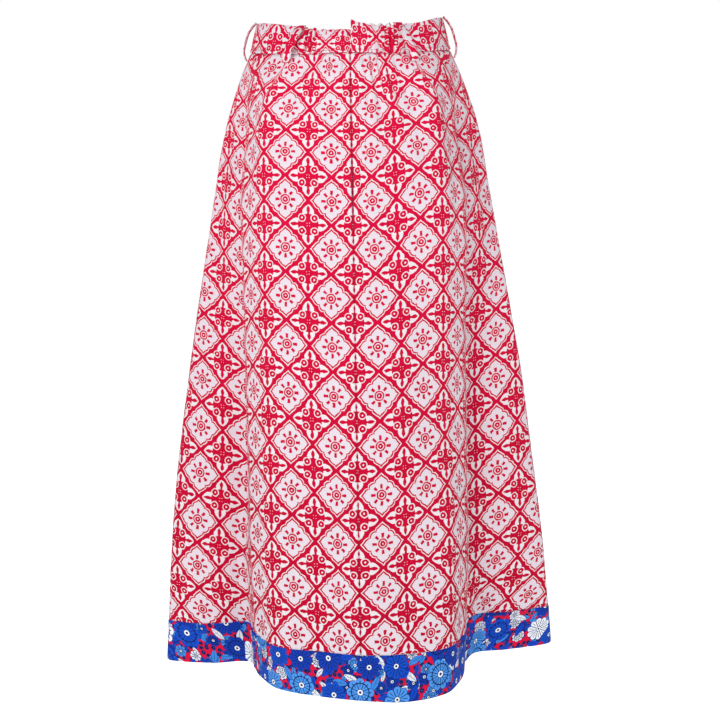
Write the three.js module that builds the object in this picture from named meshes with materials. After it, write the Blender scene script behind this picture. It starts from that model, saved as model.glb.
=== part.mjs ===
// Long A-line cotton skirt, worn shape with nobody in it, open at waist and hem.
// Millimetres, +Z up, origin in the middle of the waistband ring.
// The back (zip and elasticated waist) faces -Y. +X is the viewer's right when looking at the back.
import * as THREE from 'three';

// ---------------------------------------------------------------- sizes
const PANEL_WALL = 1.2;        // printed cotton of the body
const BAND_WALL = 2.4;         // folded and interfaced waistband
const HEM_WALL = 2.0;          // doubled contrast band at the hem
const LOOP_WALL = 1.6;         // folded belt loop
const SEAM_GAP = 0.3;          // space between two pieces at a seam
const WAIST = { seamX: 130, seamY: 102, topX: 121, topY: 92 };   // half axes of the waistband ring
const HEM_Z = -845;            // lower edge of the skirt
const HEM_BAND_HEIGHT = 60;
const ZIP_LENGTH = 210;        // open length of the concealed zip below the waist seam
const UNDERLAP = 25;           // left waistband end running behind the right one
const GATHER = {
  count: 6,                    // puckers on each side of the centre back
  cloth: 90,                   // cloth width taken by them, measured from the centre back
  takeUp: 30,                  // cloth lost in them at the waist seam
  depth: 2.1,                  // pucker amplitude just below the seam
  fade: 62,                    // distance below the seam over which they run out
};

// Sections of the back. One row per height, x is the distance from the centre line.
// crown: centre back, mid: half way to the shoulder, shoulder: where the rounded back turns in,
// turn: side of the rounded back, valley: bottom of the long vertical fold, wing: set-back side
// part, side: side seam.
const BACK_COLUMNS = ['z', 'crownY', 'midY', 'shoulderX', 'shoulderY', 'turnX', 'turnY',
  'valleyX', 'valleyY', 'wingX', 'wingY', 'sideX', 'sideY'];
const BACK_LEFT = [
  [-16, -101, -90, 95, -70, 113, -51, 124, -31, 129, -14, 130, 4],
  [-60, -108, -99, 102, -82, 122, -56, 138, -20, 147, 0, 151, 15],
  [-123, -116, -107, 106, -91, 127, -60, 146, -12, 160, 12, 172, 28],
  [-209, -127, -117, 111, -99, 137, -68, 157, -16, 173, 9, 189, 28],
  [-321, -138, -124, 113, -106, 139, -70, 158, -19, 182, -1, 208, 12],
  [-439, -147, -131, 114, -116, 139, -78, 157, -32, 190, -20, 228, 4],
  [-560, -154, -138, 114, -121, 139, -82, 158, -37, 197, -33, 246, -10],
  [-702, -163, -146, 114, -132, 138, -92, 160, -50, 203, -48, 260, -26],
  [-845, -176, -157, 112, -128, 135, -86, 162, -32, 207, -34, 271, -16],
];
const BACK_RIGHT = [
  [-16, -101, -90, 95, -70, 113, -51, 124, -31, 129, -14, 130, 4],
  [-60, -108, -99, 103, -84, 122, -58, 138, -20, 147, 1, 151, 15],
  [-123, -116, -108, 109, -94, 127, -60, 146, -11, 160, 13, 172, 28],
  [-209, -127, -122, 113, -109, 138, -76, 157, -23, 171, 4, 187, 26],
  [-321, -138, -130, 113, -111, 139, -76, 159, -20, 184, -1, 206, 14],
  [-439, -147, -137, 112, -113, 138, -78, 159, -17, 192, -8, 226, 10],
  [-560, -154, -146, 112, -125, 138, -88, 160, -26, 197, -20, 241, 4],
  [-702, -163, -154, 114, -138, 138, -98, 161, -34, 205, -25, 257, -6],
  [-845, -176, -182, 110, -156, 133, -106, 158, -14, 208, -2, 272, 26],
];
// Sections of the front: a broad soft lobe with one shallow fold near each side.
// Left and right are those of the back view.
const FRONT_COLUMNS = ['z', 'wingLX', 'wingLY', 'foldLX', 'foldLY', 'lobeLX', 'lobeLY',
  'crownY', 'lobeRX', 'lobeRY', 'foldRX', 'foldRY', 'wingRX', 'wingRY'];
const FRONT = [
  [-16, 125, 28, 112, 52, 88, 75, 102, 88, 75, 112, 52, 125, 28],
  [-60, 148, 37, 130, 64, 97, 88, 111, 96, 88, 131, 63, 148, 37],
  [-123, 167, 48, 143, 76, 104, 98, 118, 102, 99, 145, 73, 167, 46],
  [-209, 180, 50, 149, 82, 108, 108, 125, 104, 110, 153, 76, 180, 44],
  [-321, 194, 42, 152, 78, 110, 117, 131, 104, 119, 160, 71, 193, 43],
  [-439, 209, 38, 154, 76, 112, 124, 136, 103, 127, 164, 68, 208, 42],
  [-560, 222, 30, 157, 70, 114, 129, 140, 102, 133, 168, 66, 222, 40],
  [-702, 234, 20, 160, 62, 116, 134, 143, 100, 139, 171, 60, 236, 34],
  [-845, 242, 26, 163, 58, 118, 137, 146, 98, 144, 174, 62, 249, 58],
];

// Waist seam and top edge heights along each half: share of the way from centre back to side.
const SEAM_LEFT = [[0, -26], [0.35, -26], [0.65, -22], [1, -16]];
const SEAM_RIGHT = [[0, -26], [0.35, -27], [0.65, -22], [1, -16]];
const SEAM_FRONT = [[0, -16], [0.3, -20], [0.5, -21], [0.7, -20], [1, -16]];
const TOP_LEFT = [[0, 2], [0.22, 3], [0.42, 9], [0.7, 16], [1, 20]];
const TOP_RIGHT = [[0, 13], [0.07, 10], [0.2, 8], [0.5, 11], [0.75, 20], [1, 24]];
const TOP_FRONT = [[0, 20], [0.3, 19], [0.5, 19], [0.7, 21], [1, 24]];

// ---------------------------------------------------------------- small mathematics
const lerp = (a, b, t) => a + (b - a) * t;
const clamp = (v, a, b) => Math.min(b, Math.max(a, v));
const smooth = (a, b, v) => { const t = clamp((v - a) / (b - a), 0, 1); return t * t * (3 - 2 * t); };

// Smooth curve through a table of rows [x, value...], column k, at x.
function along(rows, x, k = 1) {
  const rising = rows[rows.length - 1][0] > rows[0][0];
  let i = 0;
  while (i < rows.length - 2 && (rising ? x > rows[i + 1][0] : x < rows[i + 1][0])) i++;
  const slope = (j) => {
    const a = rows[Math.max(0, j - 1)], b = rows[Math.min(rows.length - 1, j + 1)];
    return (b[k] - a[k]) / (b[0] - a[0]);
  };
  const a = rows[i], b = rows[i + 1], h = b[0] - a[0], t = clamp((x - a[0]) / h, 0, 1);
  const t2 = t * t, t3 = t2 * t;
  return (2 * t3 - 3 * t2 + 1) * a[k] + (t3 - 2 * t2 + t) * h * slope(i)
    + (3 * t2 - 2 * t3) * b[k] + (t3 - t2) * h * slope(i + 1);
}
const rowAt = (table, names, z) => {
  const row = {};
  names.forEach((name, k) => { if (k) row[name] = along(table, z, k); });
  return row;
};

// ---------------------------------------------------------------- sections of the skirt
// Closed section at one height, cut into the runs left (centre back to left side seam),
// right (centre back to right side seam) and front (left side seam to right side seam).
const STEPS = 14;
const sectionCache = new Map();
function section(z) {
  const key = z.toFixed(3);
  if (sectionCache.has(key)) return sectionCache.get(key);
  const zz = clamp(z, HEM_Z, -16);
  const l = rowAt(BACK_LEFT, BACK_COLUMNS, zz), r = rowAt(BACK_RIGHT, BACK_COLUMNS, zz);
  const f = rowAt(FRONT, FRONT_COLUMNS, zz);
  const half = (h, sign) => [[0.52 * h.shoulderX, h.midY], [h.shoulderX, h.shoulderY],
    [h.turnX, h.turnY], [h.valleyX, h.valleyY], [h.wingX, h.wingY], [h.sideX, h.sideY]]
    .map(([x, y]) => [sign * x, y]);
  const left = half(l, -1), right = half(r, 1);
  const front = [[-f.wingLX, f.wingLY], [-f.foldLX, f.foldLY], [-f.lobeLX, f.lobeLY],
    [0, f.crownY], [f.lobeRX, f.lobeRY], [f.foldRX, f.foldRY], [f.wingRX, f.wingRY]];
  const loop = [[0, l.crownY], ...left, ...front, ...right.reverse()];
  const n = loop.length, at = (i) => loop[((i % n) + n) % n];
  const dense = [];
  for (let i = 0; i < n; i++) {
    const [p0, p1, p2, p3] = [at(i - 1), at(i), at(i + 1), at(i + 2)];
    const d = (a, b) => Math.sqrt(Math.hypot(a[0] - b[0], a[1] - b[1])) + 1e-6;
    const d1 = d(p0, p1), d2 = d(p1, p2), d3 = d(p2, p3);
    for (let s = 0; s < STEPS; s++) {
      const t = s / STEPS, out = [0, 0];
      for (let c = 0; c < 2; c++) {
        const m1 = d2 * ((p1[c] - p0[c]) / d1 - (p2[c] - p0[c]) / (d1 + d2) + (p2[c] - p1[c]) / d2);
        const m2 = d2 * ((p2[c] - p1[c]) / d2 - (p3[c] - p1[c]) / (d2 + d3) + (p3[c] - p2[c]) / d3);
        const t2 = t * t, t3 = t2 * t;
        out[c] = (2 * t3 - 3 * t2 + 1) * p1[c] + (t3 - 2 * t2 + t) * m1
          + (3 * t2 - 2 * t3) * p2[c] + (t3 - t2) * m2;
      }
      dense.push(out);
    }
  }
  const run = (points) => {
    const length = [0];
    for (let i = 1; i < points.length; i++) {
      length.push(length[i - 1] + Math.hypot(points[i][0] - points[i - 1][0],
        points[i][1] - points[i - 1][1]));
    }
    return { points, length, total: length[length.length - 1] };
  };
  const iLeft = 6 * STEPS, iRight = 14 * STEPS;
  const result = {
    left: run(dense.slice(0, iLeft + 1)),
    front: run(dense.slice(iLeft, iRight + 1)),
    right: run([...dense.slice(iRight), dense[0]].reverse()),
  };
  sectionCache.set(key, result);
  return result;
}
// Point at distance s along a run.
function onRun(run, s) {
  let i = 0, j = run.length.length - 1;
  while (j - i > 1) { const m = (i + j) >> 1; if (run.length[m] > s) j = m; else i = m; }
  const t = (s - run.length[i]) / (run.length[i + 1] - run.length[i]);
  return [lerp(run.points[i][0], run.points[i + 1][0], t),
    lerp(run.points[i][1], run.points[i + 1][1], t)];
}

// ---------------------------------------------------------------- cloth on the sections
const seamRun = section(-16);
const SIDES = { left: { seam: SEAM_LEFT, top: TOP_LEFT, sign: -1, wave: 0.4 },
  right: { seam: SEAM_RIGHT, top: TOP_RIGHT, sign: 1, wave: 1.9 } };
// Pucker number w (0 to 1 across the gathered part) and the cloth distance it stands at.
const gatherCloth = (w, side) => GATHER.cloth * (w + 0.018 * Math.sin(2 * Math.PI * (1.5 * w + side.wave)))
  - GATHER.cloth * 0.018 * Math.sin(2 * Math.PI * side.wave) * (1 - w);
const gatherNumber = (u) => u / GATHER.cloth;
// Cloth width of a back half at the waist seam.
const halfCloth = (name) => seamRun[name].total + GATHER.takeUp;

// Back half: q is the share of the cloth from centre back to side seam, z the height.
function backPoint(name, q, z, drop) {
  const side = SIDES[name], run = section(z)[name];
  const fading = Math.exp(-Math.pow(drop / GATHER.fade, 2));
  const atSeam = halfCloth(name), loss = GATHER.takeUp * fading;
  const full = run.total + loss;
  const u = atSeam * q + (full - atSeam) * q * q * q;
  const s = u - loss * smooth(-0.25, 1.0, gatherNumber(u)) / 1.0 + loss * smooth(-0.25, 1.0, 0) * (1 - q);
  return { p: onRun(run, clamp(s, 0, run.total)), fading, u, share: s / run.total };
}
// Height of the waist seam at cloth share q of a back half.
const seamHeight = (name, q) => along(SIDES[name].seam, clamp(backPoint(name, q, -16, 0).share, 0, 1));
function waveHeight(name, w, fading) {
  const window = smooth(0.02, 0.16, w) * (1 - smooth(0.93, 1.04, w));
  const uneven = 0.78 + 0.22 * Math.sin(5.3 * w + 3 * SIDES[name].wave);
  return GATHER.depth * fading * window * uneven * Math.sin(2 * Math.PI * GATHER.count * w);
}

// Middle of the body's wall. part: 'left', 'right' or 'front', q: 0..1 across, t: 0 seam, 1 hem.
function bodyPoint(part, q, t, w = null) {
  if (part === 'front') {
    const top = along(SEAM_FRONT, q), z = lerp(top, HEM_Z, t), run = section(z).front;
    const [x, y] = onRun(run, clamp(q, 0, 1) * run.total);
    return new THREE.Vector3(x, y, z);
  }
  const top = seamHeight(part, q), z = lerp(top, HEM_Z, t), drop = top - z;
  const back = backPoint(part, q, z, drop);
  const point = new THREE.Vector3(back.p[0], back.p[1], z);
  if (w !== null && w < 1.05) {
    const next = backPoint(part, q + 0.004, z, drop).p, dx = next[0] - back.p[0], dy = next[1] - back.p[1];
    const length = Math.hypot(dx, dy), sign = part === 'left' ? -1 : 1;
    const h = waveHeight(part, w, back.fading) * sign;
    point.x += (dy / length) * h;
    point.y -= (dx / length) * h;
  }
  return point;
}

// ---------------------------------------------------------------- walls
// Closed wall from a grid of middle points [row][column] and outward directions.
function wall(name, grid, normals, thickness, material) {
  const rows = grid.length, cols = grid[0].length, position = [], index = [];
  const corner = (side, i, j) => (side * rows + i) * cols + j;
  for (const side of [0.5, -0.5]) {
    grid.forEach((line, i) => line.forEach((p, j) => {
      const v = p.clone().addScaledVector(normals[i][j], side * thickness);
      position.push(v.x, v.y, v.z);
    }));
  }
  const quad = (a, b, c, d) => index.push(a, b, c, a, c, d);
  for (let i = 0; i < rows - 1; i++) {
    for (let j = 0; j < cols - 1; j++) {
      quad(corner(0, i, j), corner(0, i + 1, j), corner(0, i + 1, j + 1), corner(0, i, j + 1));
      quad(corner(1, i, j), corner(1, i, j + 1), corner(1, i + 1, j + 1), corner(1, i + 1, j));
    }
  }
  for (let j = 0; j < cols - 1; j++) {
    quad(corner(0, 0, j), corner(0, 0, j + 1), corner(1, 0, j + 1), corner(1, 0, j));
    quad(corner(0, rows - 1, j + 1), corner(0, rows - 1, j), corner(1, rows - 1, j),
      corner(1, rows - 1, j + 1));
  }
  for (let i = 0; i < rows - 1; i++) {
    quad(corner(0, i + 1, 0), corner(0, i, 0), corner(1, i, 0), corner(1, i + 1, 0));
    quad(corner(0, i, cols - 1), corner(0, i + 1, cols - 1), corner(1, i + 1, cols - 1),
      corner(1, i, cols - 1));
  }
  const geometry = new THREE.BufferGeometry();
  geometry.setAttribute('position', new THREE.Float32BufferAttribute(position, 3));
  geometry.setIndex(index);
  geometry.computeVertexNormals();
  const mesh = new THREE.Mesh(geometry, material);
  mesh.name = name;
  return mesh;
}
// Outward directions of a grid whose columns run left to right as seen from outside.
function outward(grid) {
  const rows = grid.length, cols = grid[0].length;
  return grid.map((line, i) => line.map((p, j) => {
    const across = grid[i][Math.min(cols - 1, j + 1)].clone().sub(grid[i][Math.max(0, j - 1)]);
    const down = grid[Math.min(rows - 1, i + 1)][j].clone().sub(grid[Math.max(0, i - 1)][j]);
    return down.cross(across).normalize();
  }));
}

const cotton = new THREE.MeshStandardMaterial({ color: 0xdf5a74, roughness: 0.85, metalness: 0 });
const bandCotton = new THREE.MeshStandardMaterial({ color: 0xd94f6b, roughness: 0.85, metalness: 0 });
const hemCotton = new THREE.MeshStandardMaterial({ color: 0x2b55b8, roughness: 0.85, metalness: 0 });
const zipTape = new THREE.MeshStandardMaterial({ color: 0xa81c3a, roughness: 0.9, metalness: 0 });
const skirt = new THREE.Group();
skirt.name = 'skirt';

// Body panels: rows from the waist seam down to the top of the contrast band.
const total = -16 - HEM_Z;
const bandTop = 1 - HEM_BAND_HEIGHT / total;
const rowShares = [0, 0.008, 0.022, 0.042, 0.068, 0.1, 0.15, 0.22, 0.3, 0.39, 0.48, 0.58, 0.68, 0.79, 0.9, 1]
  .map((t) => t * (bandTop - SEAM_GAP / total));
// Columns of a back half as pairs [share of the cloth, pucker number].
function backColumns(name) {
  const side = SIDES[name], width = halfCloth(name), columns = [];
  for (let k = 0; k <= 4 * GATHER.count; k++) {
    const w = k / (4 * GATHER.count);
    columns.push([gatherCloth(w, side) / width, w]);
  }
  const start = columns[columns.length - 1][0];
  for (let k = 1; k <= 20; k++) columns.push([lerp(start, 1, k / 20), 2]);
  return columns;
}
// Grid of one piece, columns left to right as seen from outside, with its outward directions.
function pieceGrid(part, point, columns, shares) {
  const grid = shares.map((t) => columns.map((column) => point(part, column, t)));
  if (part !== 'right') grid.forEach((line) => line.reverse());
  return { grid, out: outward(grid) };
}
// A row of edge points whose wall must end level gets level outward directions.
const levelRow = (piece, i) => piece.out[i].forEach((v) => { v.z = 0; v.normalize(); });
// Two pieces that meet at a seam share the outward directions along it.
function joinEdges(a, endOfA, b, endOfB) {
  a.out.forEach((line, i) => {
    const va = line[endOfA ? line.length - 1 : 0], lineB = b.out[i];
    const vb = lineB[endOfB ? lineB.length - 1 : 0];
    const mean = va.clone().add(vb).normalize();
    va.copy(mean);
    vb.copy(mean);
  });
}
// Keep both upright edges of a piece short of the seam line. gap is a distance for each row.
function trimEdges({ grid }, startGap, endGap) {
  grid.forEach((line, i) => {
    const last = line.length - 1;
    const pull = (a, b, gap) => line[a].add(line[b].clone().sub(line[a]).setLength(gap));
    if (startGap) pull(0, 1, startGap(i));
    if (endGap) pull(last, last - 1, endGap(i));
  });
}
const HALF_GAP = SEAM_GAP / 2 + 0.02;
const plainGap = () => HALF_GAP;

const columnsOf = { left: backColumns('left'), right: backColumns('right'),
  front: Array.from({ length: 41 }, (_, k) => [k / 40, null]) };
const onBody = (part, [q, w], t) => bodyPoint(part, q, t, w);

// The three panels of the body. The zip opening spreads the centre back edges a little.
function ringOfPanels(shares, gapAtCentre) {
  const piece = {};
  for (const part of ['left', 'right', 'front']) {
    piece[part] = pieceGrid(part, onBody, columnsOf[part], shares);
  }
  joinEdges(piece.left, false, piece.front, true);
  joinEdges(piece.right, true, piece.front, false);
  joinEdges(piece.left, true, piece.right, false);
  if (shares[0] === 0) [piece.left, piece.right, piece.front].forEach((p) => levelRow(p, 0));
  trimEdges(piece.left, plainGap, gapAtCentre);
  trimEdges(piece.right, gapAtCentre, plainGap);
  trimEdges(piece.front, plainGap, plainGap);
  return piece;
}
const zipGap = (i) => HALF_GAP + 0.45 * (1 - smooth(0.6, 1, rowShares[i] * total / ZIP_LENGTH));
const body = ringOfPanels(rowShares, zipGap);
skirt.add(wall('panel_back_left', body.left.grid, body.left.out, PANEL_WALL, cotton));
skirt.add(wall('panel_back_right', body.right.grid, body.right.out, PANEL_WALL, cotton));
skirt.add(wall('panel_front', body.front.grid, body.front.out, PANEL_WALL, cotton));

// Contrast band at the hem: one piece round the back, one round the front.
const bandShares = [bandTop, lerp(bandTop, 1, 0.5), 1];
const hem = ringOfPanels(bandShares, null);
const hemBack = { grid: hem.left.grid.map((line, i) => [...line.slice(0, -1), ...hem.right.grid[i]]) };
hemBack.out = outward(hemBack.grid);
hemBack.out.forEach((line, i) => {
  line[0].copy(hem.left.out[i][0]);
  line[line.length - 1].copy(hem.right.out[i][hem.right.out[i].length - 1]);
});
skirt.add(wall('hem_band_back', hemBack.grid, hemBack.out, HEM_WALL, hemCotton));
skirt.add(wall('hem_band_front', hem.front.grid, hem.front.out, HEM_WALL, hemCotton));

// ---------------------------------------------------------------- waistband
// Middle of the band's wall. f: share from centre back to side (front: left side to right side),
// v: 0 at the waist seam, 1 at the top edge, shift: distance moved outward.
function bandPoint(part, f, v, shift = 0) {
  // The underlap carries on past the centre back along the right half.
  const over = part === 'left' && f < 0, run = over ? seamRun.right : seamRun[part];
  const f1 = clamp(f, 0, 1), s = Math.abs(f) * run.total;
  const seamRows = part === 'front' ? SEAM_FRONT : SIDES[part].seam;
  const topRows = part === 'front' ? TOP_FRONT : SIDES[part].top;
  const low = along(seamRows, f1) + SEAM_GAP, high = along(topRows, f1);
  const p = onRun(run, clamp(s, 0, run.total));
  const q = onRun(run, clamp(s + 0.5, 0.5, run.total)), r = onRun(run, clamp(s - 0.5, 0, run.total - 0.5));
  const length = Math.hypot(q[0] - r[0], q[1] - r[1]);
  const sign = part === 'right' || over ? 1 : -1;
  const nx = sign * (q[1] - r[1]) / length, ny = -sign * (q[0] - r[0]) / length;
  const narrow = v * (part === 'front' || f1 > 0.55 ? 1 : smooth(0.2, 0.55, f1) * 0.4 + 0.6);
  const sx = lerp(1, WAIST.topX / WAIST.seamX, narrow), sy = lerp(1, WAIST.topY / WAIST.seamY, narrow);
  // The elasticated part bulges between its two edges.
  const bulge = part === 'front' ? 0.6 : lerp(2.6, 0.6, smooth(0.3, 0.5, f1));
  const o = shift + bulge * Math.sin(Math.PI * clamp(v, 0, 1));
  return new THREE.Vector3(p[0] * sx + nx * o, p[1] * sy + ny * o, lerp(low, high, v));
}
// Ruching of the elasticated part, between the loop and the flat end at the centre back.
function ruche(f, side, total) {
  const s = f * total;
  const window = smooth(13, 24, s) * (1 - smooth(56, 63, s));
  return 1.25 * window * Math.sin(2 * Math.PI * (s / 10.4 + side.wave));
}
const bandRows = [0, 0.3, 0.65, 1];
function bandColumns(name) {
  const side = SIDES[name], length = seamRun[name].total, columns = [];
  const push = (s) => columns.push(s / length);
  const peak = (k) => (k / 4 - side.wave) * 10.4;
  if (name === 'left') [-UNDERLAP, -12, -1, 3, 7, 11].forEach(push); else [1.5, 7].forEach(push);
  for (let k = 0; k < 60; k++) if (peak(k) > 12.5 && peak(k) < 64) push(peak(k));
  for (let k = 0; k <= 14; k++) push(lerp(68, length, k / 14));
  return columns;
}
const underneath = (name, f) => (name === 'left'
  ? -(BAND_WALL + SEAM_GAP + 0.7) * (1 - smooth(2, 11, f * seamRun.left.total)) : 0);
const onBand = (part, f, v) => bandPoint(part, f, v,
  part === 'front' ? 0 : ruche(f, SIDES[part], seamRun[part].total) + underneath(part, f));
const bands = {};
for (const part of ['left', 'right']) bands[part] = pieceGrid(part, onBand, bandColumns(part), [...bandRows].reverse());
bands.front = pieceGrid('front', onBand, Array.from({ length: 33 }, (_, k) => k / 32), [...bandRows].reverse());
joinEdges(bands.left, false, bands.front, true);
joinEdges(bands.right, true, bands.front, false);
Object.values(bands).forEach((band) => levelRow(band, band.grid.length - 1));
trimEdges(bands.left, plainGap, null);
trimEdges(bands.right, null, plainGap);
trimEdges(bands.front, plainGap, plainGap);
skirt.add(wall('waistband_back_left', bands.left.grid, bands.left.out, BAND_WALL, bandCotton));
skirt.add(wall('waistband_back_right', bands.right.grid, bands.right.out, BAND_WALL, bandCotton));
skirt.add(wall('waistband_front', bands.front.grid, bands.front.out, BAND_WALL, bandCotton));

// ---------------------------------------------------------------- zip tape
// Strip behind the centre back opening that carries the concealed zip, just clear of the puckers.
const tapeRows = [-28.5, -45, -62, -85, -115, -150, -190, -26 - ZIP_LENGTH - 12];
const tape = { grid: tapeRows.map((z) => {
  const inward = PANEL_WALL / 2 + SEAM_GAP + 0.5 + 1.9 * Math.exp(-Math.pow((-26 - z) / GATHER.fade, 2));
  return [-11, 0, 11].map((x) => {
    const [, y] = onRun(section(z)[x < 0 ? 'left' : 'right'], Math.abs(x));
    return new THREE.Vector3(x, y + inward, z);
  });
}) };
tape.out = outward(tape.grid);
skirt.add(wall('zip_tape', tape.grid, tape.out, 1.0, zipTape));

// ---------------------------------------------------------------- belt loops
// top, foot: places of the two ends along the run of the waist seam, bow: how far the middle stands
// off, width: across the loop. Each runs from just above the band's top edge to below its seam.
const LOOPS = {
  loop_back_left: { part: 'left', top: 65, foot: 80, bow: 9.4, width: 12 },
  loop_back_right: { part: 'right', top: 65, foot: 80, bow: 9.4, width: 12 },
  loop_side_left: { part: 'left', top: 184, foot: 184, bow: 7.4, width: 12 },
  loop_side_right: { part: 'right', top: 184, foot: 184, bow: 7.4, width: 12 },
  loop_front_left: { part: 'front', top: 116, foot: 108, bow: 9.4, width: 12 },
  loop_front_right: { part: 'front', top: 252, foot: 260, bow: 9.4, width: 12 },
};
const LOOP_FOOT = 11;          // how far a loop reaches below the waist seam
const LOOP_BOW = [[0, 0], [0.1, 0.42], [0.26, 0.9], [0.5, 1], [0.74, 0.92], [0.9, 0.45], [1, 0]];
function loopGrid({ part, top, foot, bow, width }) {
  const run = seamRun[part], end = LOOP_WALL / 2 + SEAM_GAP + 0.15;
  const high = bandPoint(part, top / run.total, 1, BAND_WALL / 2 + end);
  high.z += 1.5;
  // Cloth share below the foot, and the panel's outer face there.
  let q = foot / run.total;
  if (part !== 'front') for (let k = 0; k < 30; k++) q += foot / run.total - backPoint(part, q, -16, 0).share;
  const t = LOOP_FOOT / (-16 - HEM_Z), low = bodyPoint(part, q, t);
  const beside = bodyPoint(part, q + 0.02, t).sub(bodyPoint(part, q - 0.02, t));
  if (part !== 'right') beside.negate();
  const across = beside.clone().setZ(0).normalize();
  const out = new THREE.Vector3(across.y, -across.x, 0);
  low.addScaledVector(out, PANEL_WALL / 2 + end + 0.5);
  return Array.from({ length: 11 }, (_, k) => {
    const share = k / 10, centre = high.clone().lerp(low, share).addScaledVector(out, bow * along(LOOP_BOW, share));
    return [-1, 1].map((e) => centre.clone().addScaledVector(across, e * width / 2));
  });
}
for (const [name, loop] of Object.entries(LOOPS)) {
  const grid = loopGrid(loop);
  skirt.add(wall(name, grid, outward(grid), LOOP_WALL, bandCotton));
}

export default skirt;
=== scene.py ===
# Long A-line skirt in block printed cotton, shown hollow in its worn shape, seen from the back.
import bpy
import math
import numpy as np
from mathutils import Matrix, Vector


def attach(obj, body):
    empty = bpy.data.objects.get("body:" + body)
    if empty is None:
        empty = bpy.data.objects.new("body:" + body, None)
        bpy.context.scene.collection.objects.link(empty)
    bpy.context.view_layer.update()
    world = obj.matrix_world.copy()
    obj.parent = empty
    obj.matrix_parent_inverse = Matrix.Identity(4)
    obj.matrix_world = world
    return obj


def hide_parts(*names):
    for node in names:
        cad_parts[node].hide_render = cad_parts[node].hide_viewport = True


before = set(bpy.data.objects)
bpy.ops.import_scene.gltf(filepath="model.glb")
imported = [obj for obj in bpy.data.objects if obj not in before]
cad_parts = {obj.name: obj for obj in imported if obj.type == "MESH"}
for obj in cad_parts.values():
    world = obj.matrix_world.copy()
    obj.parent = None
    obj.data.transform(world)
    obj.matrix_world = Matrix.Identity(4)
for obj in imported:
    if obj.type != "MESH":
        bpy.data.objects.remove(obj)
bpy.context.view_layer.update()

# ------------------------------
# Camera. Eye level a little below the waistband, 1.8 m behind the skirt, tilted down so the
# whole length is in view and turned by one degree.
EYE = Vector((0.0057, -1.8, -0.166))
FOCUS = 1332.0 / 720.0
tilt = math.atan(195.0 / 1332.0)
roll = math.radians(1.0)
forward = Vector((0.0, math.cos(tilt), -math.sin(tilt)))
level = Vector((1.0, 0.0, 0.0))
upright = level.cross(forward)
camera_data = bpy.data.cameras.new("camera")
camera_data.sensor_width = 36.0
camera_data.lens = 36.0 * FOCUS
camera = bpy.data.objects.new("camera", camera_data)
bpy.context.scene.collection.objects.link(camera)
across = level * math.cos(roll) - upright * math.sin(roll)
above = level * math.sin(roll) + upright * math.cos(roll)
pose = Matrix((across, above, -forward)).transposed().to_4x4()
pose.translation = EYE
camera.matrix_world = pose
bpy.context.scene.camera = camera

# ------------------------------
# Body panels: two back halves joined at the centre back and one flared front, cut from printed
# cotton poplin. The back is gathered into the elasticated waistband; everything below hangs in
# a broad rounded lobe with a long vertical fold each side and a set-back flare beyond it.
# Lengths and tables are in mm, with +Z up and the back of the skirt towards -Y.
HEM_Z = -845.0
SIDE_TOP = -16.0
CLOTH_WALL = 0.8
HEM_BAND_HEIGHT = 60.0
GATHER = dict(count=6, cloth=90.0, take_up=30.0, depth=2.1, fade=62.0)
# z, crown y, mid y, then x and y of shoulder, turn, valley, wing and side
BACK_LEFT = [
    [-16, -101, -90, 95, -70, 113, -51, 124, -31, 129, -14, 130, 4],
    [-60, -108, -99, 102, -82, 122, -56, 138, -20, 147, 0, 151, 15],
    [-123, -116, -107, 106, -91, 127, -60, 146, -12, 160, 12, 172, 28],
    [-209, -127, -117, 111, -99, 137, -68, 157, -16, 173, 9, 189, 28],
    [-321, -138, -124, 113, -106, 139, -70, 158, -19, 182, -1, 208, 12],
    [-439, -147, -131, 114, -116, 139, -78, 157, -32, 190, -20, 228, 4],
    [-560, -154, -138, 114, -121, 139, -82, 158, -37, 197, -33, 246, -10],
    [-702, -163, -146, 114, -132, 138, -92, 160, -50, 203, -48, 260, -26],
    [-845, -176, -157, 112, -128, 135, -86, 162, -32, 207, -34, 271, -16],
]
BACK_RIGHT = [
    [-16, -101, -90, 95, -70, 113, -51, 124, -31, 129, -14, 130, 4],
    [-60, -108, -99, 103, -84, 122, -58, 138, -20, 147, 1, 151, 15],
    [-123, -116, -108, 109, -94, 127, -60, 146, -11, 160, 13, 172, 28],
    [-209, -127, -122, 113, -109, 138, -76, 157, -23, 171, 4, 187, 26],
    [-321, -138, -130, 113, -111, 139, -76, 159, -20, 184, -1, 206, 14],
    [-439, -147, -137, 112, -113, 138, -78, 159, -17, 192, -8, 226, 10],
    [-560, -154, -146, 112, -125, 138, -88, 160, -26, 197, -20, 241, 4],
    [-702, -163, -154, 114, -138, 138, -98, 161, -34, 205, -25, 257, -6],
    [-845, -176, -182, 110, -156, 133, -106, 158, -14, 208, -2, 272, 26],
]
# z, then x and y of left wing, left fold, left lobe, crown y, right lobe, right fold, right wing
FRONT = [
    [-16, 125, 28, 112, 52, 88, 75, 102, 88, 75, 112, 52, 125, 28],
    [-60, 148, 37, 130, 64, 97, 88, 111, 96, 88, 131, 63, 148, 37],
    [-123, 167, 48, 143, 76, 104, 98, 118, 102, 99, 145, 73, 167, 46],
    [-209, 180, 50, 149, 82, 108, 108, 125, 104, 110, 153, 76, 180, 44],
    [-321, 194, 42, 152, 78, 110, 117, 131, 104, 119, 160, 71, 193, 43],
    [-439, 209, 38, 154, 76, 112, 124, 136, 103, 127, 164, 68, 208, 42],
    [-560, 222, 30, 157, 70, 114, 129, 140, 102, 133, 168, 66, 222, 40],
    [-702, 234, 20, 160, 62, 116, 134, 143, 100, 139, 171, 60, 236, 34],
    [-845, 242, 26, 163, 58, 118, 137, 146, 98, 144, 174, 62, 249, 58],
]
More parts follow.
